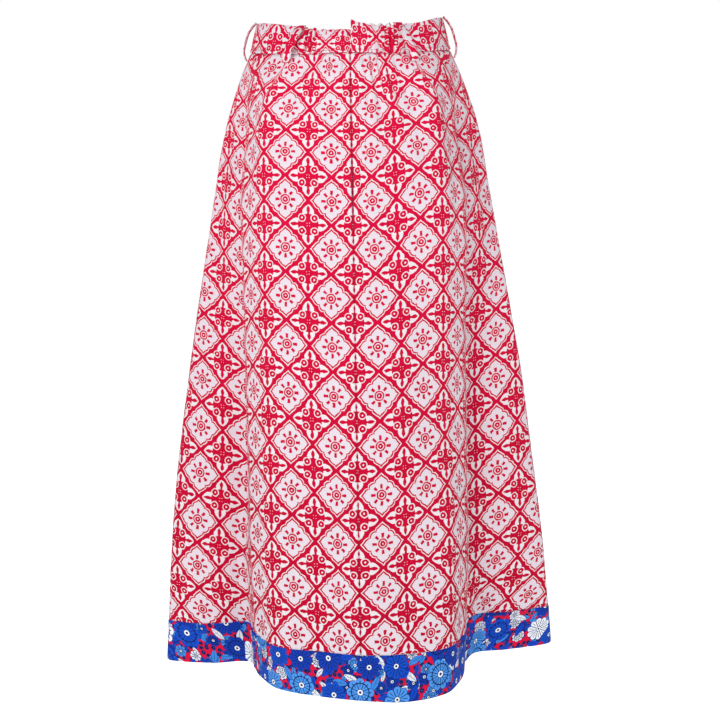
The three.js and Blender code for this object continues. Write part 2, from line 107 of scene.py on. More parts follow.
# waist seam height against the share of the way from centre back to side
SEAM = {
    "left": [[0, -26], [0.35, -26], [0.65, -22], [1, -16]],
    "right": [[0, -26], [0.35, -27], [0.65, -22], [1, -16]],
    "front": [[0, -16], [0.3, -20], [0.5, -21], [0.7, -20], [1, -16]],
}
WAVE = {"left": 0.4, "right": 1.9}
# print rows: height at the centre back, distance down the printed cloth
PRINT_DOWN = [[0, -47], [-16, -31], [-44, 0], [-97, 60], [-151, 120], [-211, 180], [-271, 240],
              [-332, 300], [-393, 360], [-455, 420], [-519, 480], [-581, 540], [-644, 600],
              [-706, 660], [-769, 720], [-845, 793]]


def hermite(a, slope_a, b, slope_b, t):
    """Cubic from a to b with the given slopes, at share t of the way."""
    return ((2 * t**3 - 3 * t**2 + 1) * a + (t**3 - 2 * t**2 + t) * slope_a
            + (3 * t**2 - 2 * t**3) * b + (t**3 - t**2) * slope_b)


def through(rows, x):
    """Smooth curve through table rows; gives every column after the first at x."""
    rows = np.asarray(rows, float)
    keys = rows[:, 0]
    if keys[-1] < keys[0]:
        rows, keys = rows[::-1], keys[::-1]
    x = np.clip(np.asarray(x, float), keys[0], keys[-1])
    i = np.clip(np.searchsorted(keys, x, side="right") - 1, 0, len(keys) - 2)
    slopes = np.array([(rows[min(k + 1, len(rows) - 1), 1:] - rows[max(k - 1, 0), 1:])
                       / (keys[min(k + 1, len(rows) - 1)] - keys[max(k - 1, 0)])
                       for k in range(len(rows))])
    h = keys[i + 1] - keys[i]
    t = (x - keys[i]) / h
    t, h = t[..., None], h[..., None]
    out = hermite(rows[i, 1:], h * slopes[i], rows[i + 1, 1:], h * slopes[i + 1], t)
    return out[..., 0] if out.shape[-1] == 1 else out


def bell(x, width):
    return np.exp(-(x / width)**2)


def ease(a, b, x):
    """Smooth step from 0 at a to 1 at b."""
    t = np.clip((np.asarray(x, float) - a) / (b - a), 0.0, 1.0)
    return t * t * (3 - 2 * t)


def travelled(points):
    """Distances along a line of points from its start."""
    return np.concatenate([[0], np.cumsum(np.linalg.norm(np.diff(points, axis=0), axis=1))])


# points in each span; six spans reach round a back half and eight round the front
STEPS = 24


def section(z):
    """Plan curve of the skirt at height z as left, right and front runs with their lengths."""
    z = min(max(z, HEM_Z), SIDE_TOP)
    left, right, f = through(BACK_LEFT, z), through(BACK_RIGHT, z), through(FRONT, z)

    def half(row, sign):
        points = [[0.52 * row[2], row[1]]] + [[row[k], row[k + 1]] for k in (2, 4, 6, 8, 10)]
        return [[sign * x, y] for x, y in points]
    ahead = [[-f[0], f[1]], [-f[2], f[3]], [-f[4], f[5]], [0, f[6]],
             [f[7], f[8]], [f[9], f[10]], [f[11], f[12]]]
    loop = np.array([[0, left[0]]] + half(left, -1) + ahead + half(right, 1)[::-1], float)
    p0, p1 = np.roll(loop, 1, 0), loop
    p2, p3 = np.roll(loop, -1, 0), np.roll(loop, -2, 0)
    d1, d2, d3 = (np.sqrt(np.linalg.norm(b - a, axis=1))[:, None] + 1e-6
                  for a, b in ((p0, p1), (p1, p2), (p2, p3)))
    m1 = d2 * ((p1 - p0) / d1 - (p2 - p0) / (d1 + d2) + (p2 - p1) / d2)
    m2 = d2 * ((p2 - p1) / d2 - (p3 - p1) / (d2 + d3) + (p3 - p2) / d3)
    t = np.linspace(0, 1, STEPS, endpoint=False)[None, :, None]
    dense = hermite(p1[:, None], m1[:, None], p2[:, None], m2[:, None], t).reshape(-1, 2)
    parts = {"left": dense[:6 * STEPS + 1], "front": dense[6 * STEPS:14 * STEPS + 1],
             "right": np.vstack([dense[14 * STEPS:], dense[:1]])[::-1]}
    return {name: (run, travelled(run)) for name, run in parts.items()}


HEIGHTS = np.concatenate([np.arange(SIDE_TOP, -120.0, -2.0), np.arange(-120.0, HEM_Z, -5.0), [HEM_Z]])
SECTIONS = [section(z) for z in HEIGHTS]
SEAM_RUN = SECTIONS[0]
SEAM_LENGTH = {part: length[-1] for part, (points, length) in SEAM_RUN.items()}
SIGN = {"left": -1.0, "right": 1.0}


def on_run(run, s):
    points, length = run
    return np.stack([np.interp(s, length, points[:, 0]), np.interp(s, length, points[:, 1])], -1)


def cloth_places(part, q, total, drop):
    """Cloth distance u and plan distance s of share q across a panel at one height."""
    if part == "front":
        half, at_seam = total / 2, SEAM_LENGTH["front"] / 2
        r = 2 * q - 1
        u = at_seam * r + (half - at_seam) * r**3
        return u, u + half
    fading = bell(drop, GATHER["fade"])
    at_seam, loss = SEAM_LENGTH[part] + GATHER["take_up"], GATHER["take_up"] * fading
    u = at_seam * q + (total + loss - at_seam) * q**3
    w = u / GATHER["cloth"]
    return u, u - loss * ease(-0.25, 1.0, w) + loss * ease(-0.25, 1.0, 0.0) * (1 - q)


def seam_height(part, q):
    if part == "front":
        return through(SEAM["front"], q)
    total = SEAM_LENGTH[part]
    return through(SEAM[part], np.clip(cloth_places(part, q, total, 0.0)[1] / total, 0, 1))


def hanging(part, q, t):
    """Smooth hanging surface of a panel: points, cloth distance across and down, drop."""
    top = seam_height(part, q)
    X, Y, U = (np.zeros((len(HEIGHTS), len(q))) for _ in range(3))
    for k, z in enumerate(HEIGHTS):
        run = SECTIONS[k][part]
        u, s = cloth_places(part, q, run[1][-1], np.maximum(top - z, 0))
        p = on_run(run, np.clip(s, 0, run[1][-1]))
        X[k], Y[k], U[k] = p[:, 0], p[:, 1], u
    steep = np.zeros_like(X)
    for C in (X, Y):
        down = np.gradient(C, HEIGHTS, axis=0)
        side = np.gradient(C, axis=1) / np.gradient(U, axis=1)
        steep += (down - side * np.gradient(U, HEIGHTS, axis=0))**2
    stretch = np.sqrt(1 + np.minimum(steep, 0.6))
    v0 = np.interp(-HEIGHTS, [-r[0] for r in PRINT_DOWN], [r[1] for r in PRINT_DOWN])
    across = np.linspace(U.min(), U.max(), 160)
    base = stretch[:, len(q) // 2 if part == "front" else 0]
    ratio = np.array([np.interp(across, U[k], stretch[k]) for k in range(len(HEIGHTS))]) / base[:, None]
    wide = np.pad(ratio, ((0, 0), (1, 1)), mode="edge")
    ratio = 0.25 * wide[:, :-2] + 0.5 * ratio + 0.25 * wide[:, 2:]
    steps = 0.5 * (ratio[1:] + ratio[:-1]) * np.diff(v0)[:, None]
    V = v0[0] + np.vstack([np.zeros(len(across)), np.cumsum(steps, axis=0)])
    z = top[None, :] + (HEM_Z - top[None, :]) * t[:, None]
    points, u, v = np.zeros(z.shape + (3,)), np.zeros_like(z), np.zeros_like(z)
    for j in range(len(q)):
        at = -z[:, j]
        for grid, values in ((points[..., 0], X), (points[..., 1], Y), (u, U)):
            grid[:, j] = np.interp(at, -HEIGHTS, values[:, j])
        k = np.interp(at, -HEIGHTS, np.arange(len(HEIGHTS)))
        low = np.clip(k.astype(int), 0, len(HEIGHTS) - 2)
        over, under = (np.array([np.interp(u[i, j], across, V[row]) for i, row in enumerate(rows)])
                       for rows in (low, low + 1))
        v[:, j] = over + (k - low) * (under - over)
    points[..., 2] = z
    v -= np.maximum(z - SIDE_TOP, 0)
    return points, u, v, top[None, :] - z


def facing(points, flip):
    """Unit outward directions of a grid of points."""
    n = np.cross(np.gradient(points, axis=0), np.gradient(points, axis=1))
    n /= np.linalg.norm(n, axis=-1, keepdims=True) + 1e-12
    return -n if flip else n


# Soft creases: cloth across and down at both ends, width and depth. Depth below zero is a trough.
CREASES = {
    "left": [
        (23, 20, 29, 105, 5, -1.5), (38, 70, 27, 150, 7, 1.6), (52, 0, 47, 70, 6, -1.6),
        (66, 10, 72, 95, 7, 1.4), (88, 0, 104, 120, 9, -1.7), (118, 10, 131, 190, 12, 1.7),
        (150, 40, 158, 330, 12, -1.8), (158, 30, 170, 830, 15, 2.4), (194, 20, 206, 420, 12, -6.5),
        (206, 360, 222, 860, 13, -6.5), (232, 150, 240, 560, 10, 2.0),
        (62, 230, 58, 520, 22, 1.6), (104, 330, 110, 690, 20, -1.8), (34, 480, 37, 740, 16, -1.3),
        (222, 300, 252, 700, 18, -2.2), (262, 420, 292, 770, 16, 2.0), (78, 560, 86, 790, 18, 1.8)],
    "right": [
        (24, 15, 27, 70, 5, -1.6), (33, 45, 28, 128, 6, 1.7), (45, 5, 41, 85, 6, -1.5),
        (60, 0, 67, 110, 8, 1.5), (84, 10, 92, 140, 9, -1.8), (112, 0, 124, 160, 11, 1.7),
        (142, 30, 152, 290, 12, -1.9), (159, 30, 170, 830, 15, 2.4), (195, 20, 207, 440, 12, -6.5),
        (207, 380, 224, 860, 13, -6.5), (233, 170, 242, 600, 10, 2.0),
        (48, 260, 54, 590, 20, 1.7), (92, 300, 99, 640, 22, -1.7), (120, 520, 124, 790, 18, 1.6),
        (226, 280, 256, 690, 17, -2.0), (268, 440, 300, 780, 16, 2.0), (66, 600, 70, 790, 15, -1.3)],
    "front": [
        (-22, 0, -26, 140, 12, -1.2), (35, 0, 42, 200, 14, 1.3), (-70, 10, -92, 260, 16, -1.8),
        (-112, 30, -140, 420, 15, 2.0), (88, 0, 108, 300, 17, -1.9), (130, 40, 160, 480, 15, 1.9),
        (-48, 330, -54, 780, 26, 1.8), (20, 380, 26, 800, 28, -1.6), (96, 420, 112, 800, 22, 1.8),
        (-180, 260, -214, 780, 18, -2.3), (186, 240, 226, 790, 18, -2.2),
        (-250, 420, -300, 800, 16, 2.0), (256, 460, 304, 800, 16, 1.9)],
}


def crease_height(part, u, v):
    h = np.zeros_like(u)
    for a0, b0, a1, b1, width, depth in CREASES[part]:
        t = (v - b0) / (b1 - b0)
        sway = 0.12 * width * np.sin(v / 23.0 + a0)
        off = (u - (a0 + (a1 - a0) * t) - sway) / width
        h += depth * np.exp(-off**2) * ease(-0.12, 0.22, t) * (1 - ease(0.7, 1.15, t))
    # slack of soft poplin between the folds
    h += 0.42 * np.sin(u / 19.0 + 0.7 * np.sin(v / 61.0)) * np.sin(v / 47.0 + u / 83.0)
    h += 0.16 * np.sin(u / 7.3 + v / 31.0) * np.sin(v / 12.1 - u / 26.0)
    return h


def pucker_height(part, u, drop):
    """Gathers below the elasticated waist; each one runs out at its own distance."""
    w = u / GATHER["cloth"]
    window = ease(0.02, 0.16, w) * (1 - ease(0.93, 1.04, w))
    own = GATHER["fade"] * (0.82 + 0.42 * np.sin(7.1 * w + 5 * WAVE[part]))
    size = (0.78 + 0.22 * np.sin(5.3 * w + 3 * WAVE[part])) * bell(np.maximum(drop, 0), own)
    started = 0.25 + 0.75 * ease(0, 15, drop)
    return GATHER["depth"] * started * window * size * np.sin(2 * np.pi * GATHER["count"] * w)


ZIP_LENGTH = 210.0


def panel_surface(part, q, t, centre_seam=True):
    points, u, v, drop = hanging(part, q, t)
    out = facing(points, part != "right")
    h = crease_height(part, u, v) * ease(-4, 30, drop)
    # cloth turns in slightly at the seams and ripples along the hem seam
    total = np.abs(u).max(axis=1, keepdims=True)
    h -= 1.1 * bell(total - np.abs(u), 1.6)
    h -= 2.8 * bell(np.maximum(drop, 0), 2.2)
    above = points[..., 2] - (HEM_Z + HEM_BAND_HEIGHT)
    ripple = 0.3 * np.sin(u / 2.9 + 0.6 * np.sin(u / 31.0)) + 0.25 * np.sin(u / 4.7)
    h += bell(above, 13.0) * ripple
    if part != "front":
        h += pucker_height(part, u, drop)
    if part != "front" and centre_seam:
        h -= 2.5 * bell(u, 1.7)
        slit = 0.25 * (1 - ease(ZIP_LENGTH - 25, ZIP_LENGTH, drop)) * bell(u, 2.5)
        points[..., 0] += SIGN[part] * slit
    return points + out * h[..., None], u, v, drop


def in_scene(name, data):
    """Object made of its data and put in the scene."""
    made = bpy.data.objects.new(name, data)
    bpy.context.scene.collection.objects.link(made)
    return made


def settle(piece):
    """Turns a piece with its modifiers into a plain mesh."""
    graph = bpy.context.evaluated_depsgraph_get()
    made = bpy.data.meshes.new_from_object(piece.evaluated_get(graph), depsgraph=graph)
    made.name = piece.data.name
    piece.modifiers.clear()
    piece.data = made


def cloth_object(name, points, quads, places, materials):
    """Piece of cloth made of quads, with the place in the print of each quad's corners."""
    mesh = bpy.data.meshes.new(name)
    mesh.from_pydata((points.reshape(-1, 3) / 1000.0).tolist(), [], quads)
    layer = mesh.uv_layers.new(name="cloth")
    layer.data.foreach_set("uv", (np.array(places) / 1000.0).ravel())
    mesh.polygons.foreach_set("use_smooth", [True] * len(quads))
    for material in materials:
        mesh.materials.append(material)
    return in_scene(name, mesh)


def panel_shell(name, points, coords, flip, materials):
    """Grid of cloth as a closed shell of even thickness, printed face outward."""
    rows, cols = points.shape[:2]
    index = np.arange(rows * cols).reshape(rows, cols)
    quads = np.stack([index[:-1, :-1], index[1:, :-1], index[1:, 1:], index[:-1, 1:]], -1).reshape(-1, 4)
    if flip:
        quads = quads[:, ::-1]
    piece = cloth_object(name, points, quads.tolist(), coords.reshape(-1, 2)[quads], materials)
    shell = piece.modifiers.new("thickness", "SOLIDIFY")
    shell.thickness, shell.offset = CLOTH_WALL / 1000.0, 0.0
    shell.use_even_offset = False
    shell.material_offset = 1
    settle(piece)
    return piece


def linear(hex_colour):
    channels = [int(hex_colour[k:k + 2], 16) / 255.0 for k in (1, 3, 5)]
    return [c / 12.92 if c <= 0.04045 else ((c + 0.055) / 1.055)**2.4 for c in channels] + [1.0]


def give(socket, value):
    """Sets an input from a node, an output, a hex colour or a plain value."""
    if isinstance(value, bpy.types.Node):
        value = next(s for s in value.outputs if s.enabled)
    if isinstance(value, bpy.types.NodeSocket):
        socket.id_data.links.new(value, socket)
    else:
        socket.default_value = linear(value) if isinstance(value, str) else value


def add(tree, kind, *values, **settings):
    """Adds a node, sets its properties and gives its inputs in order; shader nodes go by short names."""
    node = tree.nodes.new(kind if "Node" in kind else "ShaderNode" + kind)
    for key, value in settings.items():
        setattr(node, key, value)
    for socket, value in zip([s for s in node.inputs if s.enabled], values):
        give(socket, value)
    return node


def calc(operation, *values, kind="Math"):
    """Maths node, in the tree of the first node or output it is given."""
    tree = next(value for value in values if isinstance(value, bpy.types.bpy_struct)).id_data
    return add(tree, kind, *values, operation=operation)


def vector_calc(operation, *values):
    return calc(operation, *values, kind="VectorMath")


def distance(a, b):
    return calc("SQRT", calc("ADD", calc("MULTIPLY", a, a), calc("MULTIPLY", b, b)))


def joined(operation, mask, *others):
    """Masks taken together: MAXIMUM where any of them is, MULTIPLY where all are."""
    for other in others:
        mask = calc(operation, mask, other)
    return mask


def mixed(share, first, second):
    """Colour between two, each an output or a hex colour."""
    mix = add(share.id_data, "Mix", share, data_type="RGBA")
    give(mix.inputs[6], first)
    give(mix.inputs[7], second)
    return mix.outputs[2]


def new_group(name, kind, inputs, outputs):
    """Node group with named sockets, and its entry node."""
    group = bpy.data.node_groups.new(name, kind)
    for way, sockets in (("INPUT", inputs), ("OUTPUT", outputs)):
        for label, holds in sockets.items():
            group.interface.new_socket(label, in_out=way, socket_type="NodeSocket" + holds)
    return group, group.nodes.new("NodeGroupInput")


def new_material(name):
    """Material with its node tree, emptied."""
    material = bpy.data.materials.new(name)
    material.use_nodes = True
    material.node_tree.nodes.clear()
    return material, material.node_tree


def surface(tree, colour, values, height=None, bump=(0.0, 0.0)):
    """Principled surface, with a height in relief of the given strength and depth."""
    skin = add(tree, "BsdfPrincipled", colour)
    for name, value in values.items():
        give(skin.inputs[name], value)
    if height:
        relief = add(tree, "Bump", *bump)
        give(relief.inputs["Height"], height)
        give(skin.inputs["Normal"], relief)
    add(tree, "OutputMaterial", skin)


# Tile print: a lattice of lozenges 60 mm from tip to tip. Pale ones hold a sun inside a scalloped
# line; red ones hold four white petals, a fleury cross and four ringed dots. Lengths are in mm.
TIP = 30.0
DIAGONAL = 0.70711
DOT_PLACE = 8.2
tile, entry = new_group("tile_print", "ShaderNodeTree", {"Cloth": "Vector"},
                        {"Ink": "Float", "Tint": "Float"})
mm = vector_calc("MULTIPLY", entry.outputs[0], (1000.0, 1000.0, 1000.0))
# the wooden block leaves edges that wander by less than a millimetre
wander = add(tile, "TexNoise", mm, 0.22, 2.0, noise_dimensions="2D")
centred = vector_calc("SUBTRACT", wander.outputs["Color"], (0.5, 0.5, 0.5))
shift = vector_calc("MULTIPLY", centred, (1.7, 1.7, 0.0))
split = add(tile, "SeparateXYZ", vector_calc("ADD", mm, shift))
x, y = (calc("ABSOLUTE", calc("WRAP", split.outputs[k], TIP, -TIP)) for k in (0, 1))
# n is the distance out towards the lozenge's side, e the distance along that side from its middle
n = calc("MULTIPLY", calc("ADD", x, y), DIAGONAL)
e = calc("ABSOLUTE", calc("MULTIPLY", calc("SUBTRACT", x, y), DIAGONAL))
# each side of a pale lozenge has one lobe 10 mm wide between two notches, then runs straight to the tips
swing = calc("COSINE", calc("MULTIPLY", calc("MINIMUM", e, 9.0), 0.308))
lobes = calc("POWER", calc("ABSOLUTE", swing), 0.6)
straight = add(tile, "MapRange", e, 5.0, 15.0, 16.2, 14.75)
gap = calc("SUBTRACT", n, calc("MULTIPLY_ADD", lobes, 2.75, straight))
pale = calc("LESS_THAN", gap, 2.1)
inside = calc("LESS_THAN", gap, 0.0)
r = distance(x, y)
sun = [calc("COMPARE", place, middle, half)
       for place, middle, half in ((gap, 0.0, 0.92), (r, 5.5, 0.95), (r, 2.25, 1.2))]
# rays: the directions out and across, then half width, middle and half length
far, near = calc("MAXIMUM", x, y), calc("MINIMUM", x, y)
for out, across, width, middle, half in ((far, near, 1.2, 10.4, 2.9), (n, e, 1.15, 10.6, 2.6)):
    thin = calc("LESS_THAN", across, calc("MULTIPLY_ADD", out, 0.05, width))
    sun.append(calc("MULTIPLY", thin, calc("COMPARE", out, middle, half)))
pale_ink = joined("MAXIMUM", *sun)
# red lozenge, measured from its own centre
cx, cy = calc("SUBTRACT", TIP, x), calc("SUBTRACT", TIP, y)
reach, aside = calc("MAXIMUM", cx, cy), calc("MINIMUM", cx, cy)


def half_width(start, places):
    """Half width of an ornament in mm; places are shares of the way to the tip and of its length."""
    taper = add(tile, "FloatCurve", 1.0, calc("DIVIDE", reach, TIP))
    curve = taper.mapping.curves[0]
    for place, width in places:
        curve.points.new(place, width)
    curve.points[0].location, curve.points[-1].location = (0.0, start), (1.0, -0.1)
    for point in curve.points:
        point.handle_type = "VECTOR"
    taper.mapping.update()
    return calc("MULTIPLY", taper, TIP)


petal_width = half_width(0.0, ((0.385, 0.0), (0.4, 0.22), (0.46, 0.25), (0.52, 0.255), (0.57, 0.245),
                               (0.63, 0.223), (0.69, 0.18), (0.75, 0.13), (0.8, 0.075), (0.84, 0.0)))
arm_width = half_width(0.2, ((0.36, 0.21), (0.415, 0.2), (0.43, 0.12), (0.445, 0.05), (0.5, 0.048),
                             (0.56, 0.07), (0.62, 0.082), (0.69, 0.066), (0.75, 0.03), (0.79, 0.0)))
dot = distance(calc("SUBTRACT", cx, DOT_PLACE), calc("SUBTRACT", cy, DOT_PLACE))
petal = joined("MULTIPLY", calc("LESS_THAN", aside, petal_width), calc("GREATER_THAN", aside, arm_width),
               calc("GREATER_THAN", dot, 5.1))
fleck = joined("MULTIPLY", *(calc("COMPARE", place, 1.6, 0.42) for place in (reach, aside)))
white = joined("MAXIMUM", petal, calc("COMPARE", dot, 4.6, 0.6), calc("LESS_THAN", dot, 1.15), fleck)
ink = add(tile, "Mix", pale, calc("SUBTRACT", 1.0, white), pale_ink)
add(tile, "NodeGroupOutput", ink, inside)

# Threads of plain woven cotton are 0.3 mm; they are drawn 1.2 mm apart so that they show.
THREAD_GAP = 0.0012


def plain_weave(tree, where):
    """Height of a plain weave, with its bump strength and depth."""
    scale = math.pi / 20.0 / THREAD_GAP
    warp, weft = (add(tree, "TexWave", where, scale, 0.6, bands_direction=way) for way in "XY")
    return dict(height=calc("ADD", warp.outputs[1], weft.outputs[1]), bump=(0.12, 0.0003))


# Cotton poplin, printed with crimson pigment by block: matt and a little uneven in the ink. The ink's
# colour also darkens from the waist towards the hem, which is painted shade. The fabric's ground is tinted
# inside the pale lozenges.
def printed_cotton(name, ink_in_painted_shade, ink_in_painted_light, ground, tinted, roughness):
    material, tree = new_material(name)
    where = add(tree, "UVMap", uv_map="cloth")
    stamp = add(tree, "Group", where, node_tree=tile)
    # the noise is the ink's own unevenness; the fall by height down the cloth is painted shade, darker
    # towards the hem
    patch = add(tree, "TexNoise", where, 46.0, 5.0)
    height = add(tree, "SeparateXYZ", where).outputs[1]
    painted_shade_fall = add(tree, "MapRange", height, -0.76, -0.08, -0.5, 0.5)
    mottle_and_painted_shade = add(tree, "Math", patch, painted_shade_fall, operation="ADD", use_clamp=True)
    bare = mixed(stamp.outputs[1], ground, tinted)
    colour = mixed(stamp.outputs[0], bare, mixed(mottle_and_painted_shade, ink_in_painted_shade, ink_in_painted_light))
    surface(tree, colour, {"Roughness": roughness, "Specular IOR Level": 0.08, "Sheen Weight": 0.02,
                           "Sheen Roughness": 0.6}, **plain_weave(tree, where))
    return material


# the first red is the ink in painted shade at the hem, the second the ink at the waist
poplin = printed_cotton("block_printed_poplin", "#B9002D", "#D3083E", "#E3DCE1", "#DDD2DB", 0.86)
# The wrong side of the same cloth, where the pigment only half comes through; its ink darkens towards the hem
# with the same painted shade.
wrong_side = printed_cotton("block_printed_poplin_wrong_side", "#E2869A", "#E995A6", "#F3EDEF", "#EFE8EC",
                            0.9)

panel_down = np.concatenate([[-0.0045], np.linspace(0, 0.13, 84), np.linspace(0.13, 1, 170)[1:]])
BAND_TOP = 1 - HEM_BAND_HEIGHT / (SIDE_TOP - HEM_Z)
panel_down = np.append(panel_down[panel_down < BAND_TOP], BAND_TOP)


def across_half(part, count):
    """Shares across a back half, closer together in the gathers."""
    edge = GATHER["cloth"] / (SEAM_LENGTH[part] + GATHER["take_up"])
    return np.concatenate([np.linspace(0, edge, count), np.linspace(edge, 1, count)[1:]])


# distance of the first pale lozenge from the centre back, at distances down the cloth
DOWN = [0, 60, 120, 180, 300, 500, 760]
COLUMN = {"left": (DOWN, [28.5, 25.3, 25.8, 26.5, 29.8, 28, 27.2]),
          "right": (DOWN, [27, 26.2, 23.8, 24.5, 28, 30, 32])}
# how far the print of the left flare has slipped towards the fold and down, at distances down it
LEFT_SLIP = ([60, 150, 250, 450, 700], [0, 0, -1, -1, -8.5])
LEFT_SINK = ([180, 250, 450, 700], [13, 16, 8, 12])


def print_coords(part, u, v, drop):
    """Place in the print, with the origin on the first pale lozenge beside the centre back."""
    if part == "front":
        return np.stack([u, -v], -1)
    # below the back loops a tuck hides a strip of cloth at the waist
    fold = 113 + 0.3 * v
    taken = bell(np.maximum(drop, 0), 58.0)
    moved = taken * (-13.0 * ease(0, 40, u) + 34.0 * ease(fold - 3, fold + 3, u) - 14.0 * ease(150, 190, u))
    # beyond the side fold the print has slipped towards the fold and down
    sink = ease(150, 192, u) * (np.interp(v, *LEFT_SINK) if part == "left" else 13.0)
    column = np.interp(v, *COLUMN[part])
    # at the centre seam itself the halves are cut just past the middle of a red lozenge
    column = column + (29.3 - column) * (1 - ease(2, 22, u))
    if part == "left":
        slip = ease(140, 170, u) * np.interp(v, *LEFT_SLIP)
        return np.stack([column - u - moved - slip, sink - v], -1)
    slip = ease(140, 175, u) * (3.0 + 6.0 * ease(200, 400, v))
    rise = 8.0 * ease(35, 95, u) * np.exp(-np.maximum(v, 0) / 260.0)
    return np.stack([u + moved + slip - column, sink - v - rise], -1)


CUT = {"left": (0.35, 0.79, 0.222), "right": (0.35, 0.79, 0.228), "front": (0.69, 0.79, 0.42)}
for part, node in (("left", "panel_back_left"), ("right", "panel_back_right"), ("front", "panel_front")):
    q = np.linspace(0, 1, 171) if part == "front" else across_half(part, 73)
    points, u, v, drop = panel_surface(part, q, panel_down)
    piece = panel_shell(part + "_panel", points, print_coords(part, u, v, drop), part != "right",
                       [poplin, wrong_side])
    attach(piece, "root")
    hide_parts(node)
    width, length, area = CUT[part]

# ------------------------------
# Hem bands: a doubled strip of contrasting cotton, folded along the lower edge and sewn to the
# body, one round the back and one round the front. Printed all over with round flowers, leaves
# and berries in blues and white on crimson.
def folded_cloth(name, middle, out, half, coords, material):
    """Doubled strip: two faces a half thickness off the middle surface, closed round the edges."""
    fold = coords[-1, 0, 1]
    rows, cols = middle.shape[:2]
    half = np.asarray(half, float)[:, None, None]
    ring = np.concatenate([middle + half * out, (middle - half * out)[::-1]])
    back = coords[::-1].copy()
    back[..., 1] = 2 * fold - back[..., 1]
    cloth = np.concatenate([coords, back, back[-1:] + 0.4])
    count = 2 * rows
    quads, places = [], []
    for k in range(count):
        n = (k + 1) % count
        for j in range(cols - 1):
            quads.append((k * cols + j, n * cols + j, n * cols + j + 1, k * cols + j + 1))
            places += [cloth[k, j], cloth[k + 1, j], cloth[k + 1, j + 1], cloth[k, j + 1]]
    for j, flip in ((0, 1), (cols - 1, -1)):
        for k in range(rows - 1):
            a = [k, count - 1 - k, count - 2 - k, k + 1][::flip]
            quads.append([i * cols + j for i in a])
            places += [cloth[i, j] for i in a]
    piece = cloth_object(name, ring, quads, places, [material])
    # a volume below zero means that the faces look inward
    a, b, c = ring.reshape(-1, 3)[np.array(quads)[:, :3]].transpose(1, 0, 2)
    if (a * np.cross(b, c)).sum() < 0:
        piece.data.flip_normals()
    return piece


def scattered(name, size_label, randomness):
    """Group that scatters a motif over cells of the cloth: group, entry, place in a cell, random picks."""
    inputs = {"Cloth": "Vector", "Spacing": "Float", size_label: "Float", "Under": "Color"}
    group, entry = new_group(name, "ShaderNodeTree", inputs, {"Colour": "Color"})
    step = add(group, "CombineXYZ", entry.outputs[1], entry.outputs[1], 1.0)
    spot = vector_calc("DIVIDE", entry.outputs[0], step)
    cell = add(group, "TexVoronoi", spot, 1.0, voronoi_dimensions="2D")
    give(cell.inputs["Randomness"], randomness)
    local = vector_calc("MULTIPLY", vector_calc("SUBTRACT", spot, cell.outputs["Position"]), step)
    return group, entry, local, add(group, "SeparateColor", cell.outputs["Color"])


def one_of(share, first, steps):
    """One of a few colours, by a share; each step gives the share it starts at."""
    chosen = add(share.id_data, "ValToRGB", share)
    ramp = chosen.color_ramp
    ramp.interpolation = "CONSTANT"
    for start, hex_colour in steps:
        ramp.elements.new(start).color = linear(hex_colour)
    ramp.elements[0].color = linear(first)
    ramp.elements[-1].color = linear(steps[-1][1])
    return chosen.outputs[0]


# Scattered round flowers, used at three sizes.
NAVY = "#0A1A56"
flowers, entry, local, pick = scattered("scattered_flowers", "Radius", 0.72)
axes = add(flowers, "SeparateXYZ", local)
r = distance(axes.outputs[0], axes.outputs[1])
angle = calc("ARCTAN2", axes.outputs[1], axes.outputs[0])
petals = calc("ROUND", calc("MULTIPLY_ADD", pick.outputs[0], 4.0, 6.6))
turn = calc("MULTIPLY", calc("MULTIPLY", angle, petals), 0.5)
lobe = calc("ABSOLUTE", calc("COSINE", turn))
full = calc("MULTIPLY", entry.outputs[2], calc("MULTIPLY_ADD", pick.outputs[1], 0.3, 0.78))
round_end = calc("MULTIPLY_ADD", calc("POWER", lobe, 0.45), 0.3, 0.7)
inside = calc("SUBTRACT", calc("MULTIPLY", full, round_end), r)
from_parting = joined("MULTIPLY", r, lobe, calc("DIVIDE", 2.0, petals))
share = calc("DIVIDE", r, full)
vein = joined("MULTIPLY", calc("GREATER_THAN", lobe, 0.985), calc("COMPARE", share, 0.58, 0.2))
ring = joined("MULTIPLY", calc("COMPARE", share, 0.62, 0.035),
              calc("GREATER_THAN", pick.outputs[1], 0.45))
edge = calc("LESS_THAN", inside, 0.7)
ink_lines = joined("MAXIMUM", edge, calc("LESS_THAN", from_parting, 0.46), vein, ring)
heart = calc("MULTIPLY", full, 0.21)
within = calc("SUBTRACT", heart, r)
heart_marks = joined("MAXIMUM", calc("COMPARE", within, 0.0, 0.35),
                     calc("LESS_THAN", r, calc("MULTIPLY", heart, 0.42)))
body = one_of(pick.outputs[2], "#0A4BC4", ((0.34, "#4A93E6"), (0.58, "#0A3AAE"), (0.86, "#E9EEF8")))
colour = mixed(ink_lines, body, NAVY)
colour = mixed(calc("GREATER_THAN", within, 0.0), colour, "#EDF1F8")
colour = mixed(heart_marks, colour, NAVY)
add(flowers, "NodeGroupOutput", mixed(calc("GREATER_THAN", inside, 0.0), entry.outputs[3], colour))

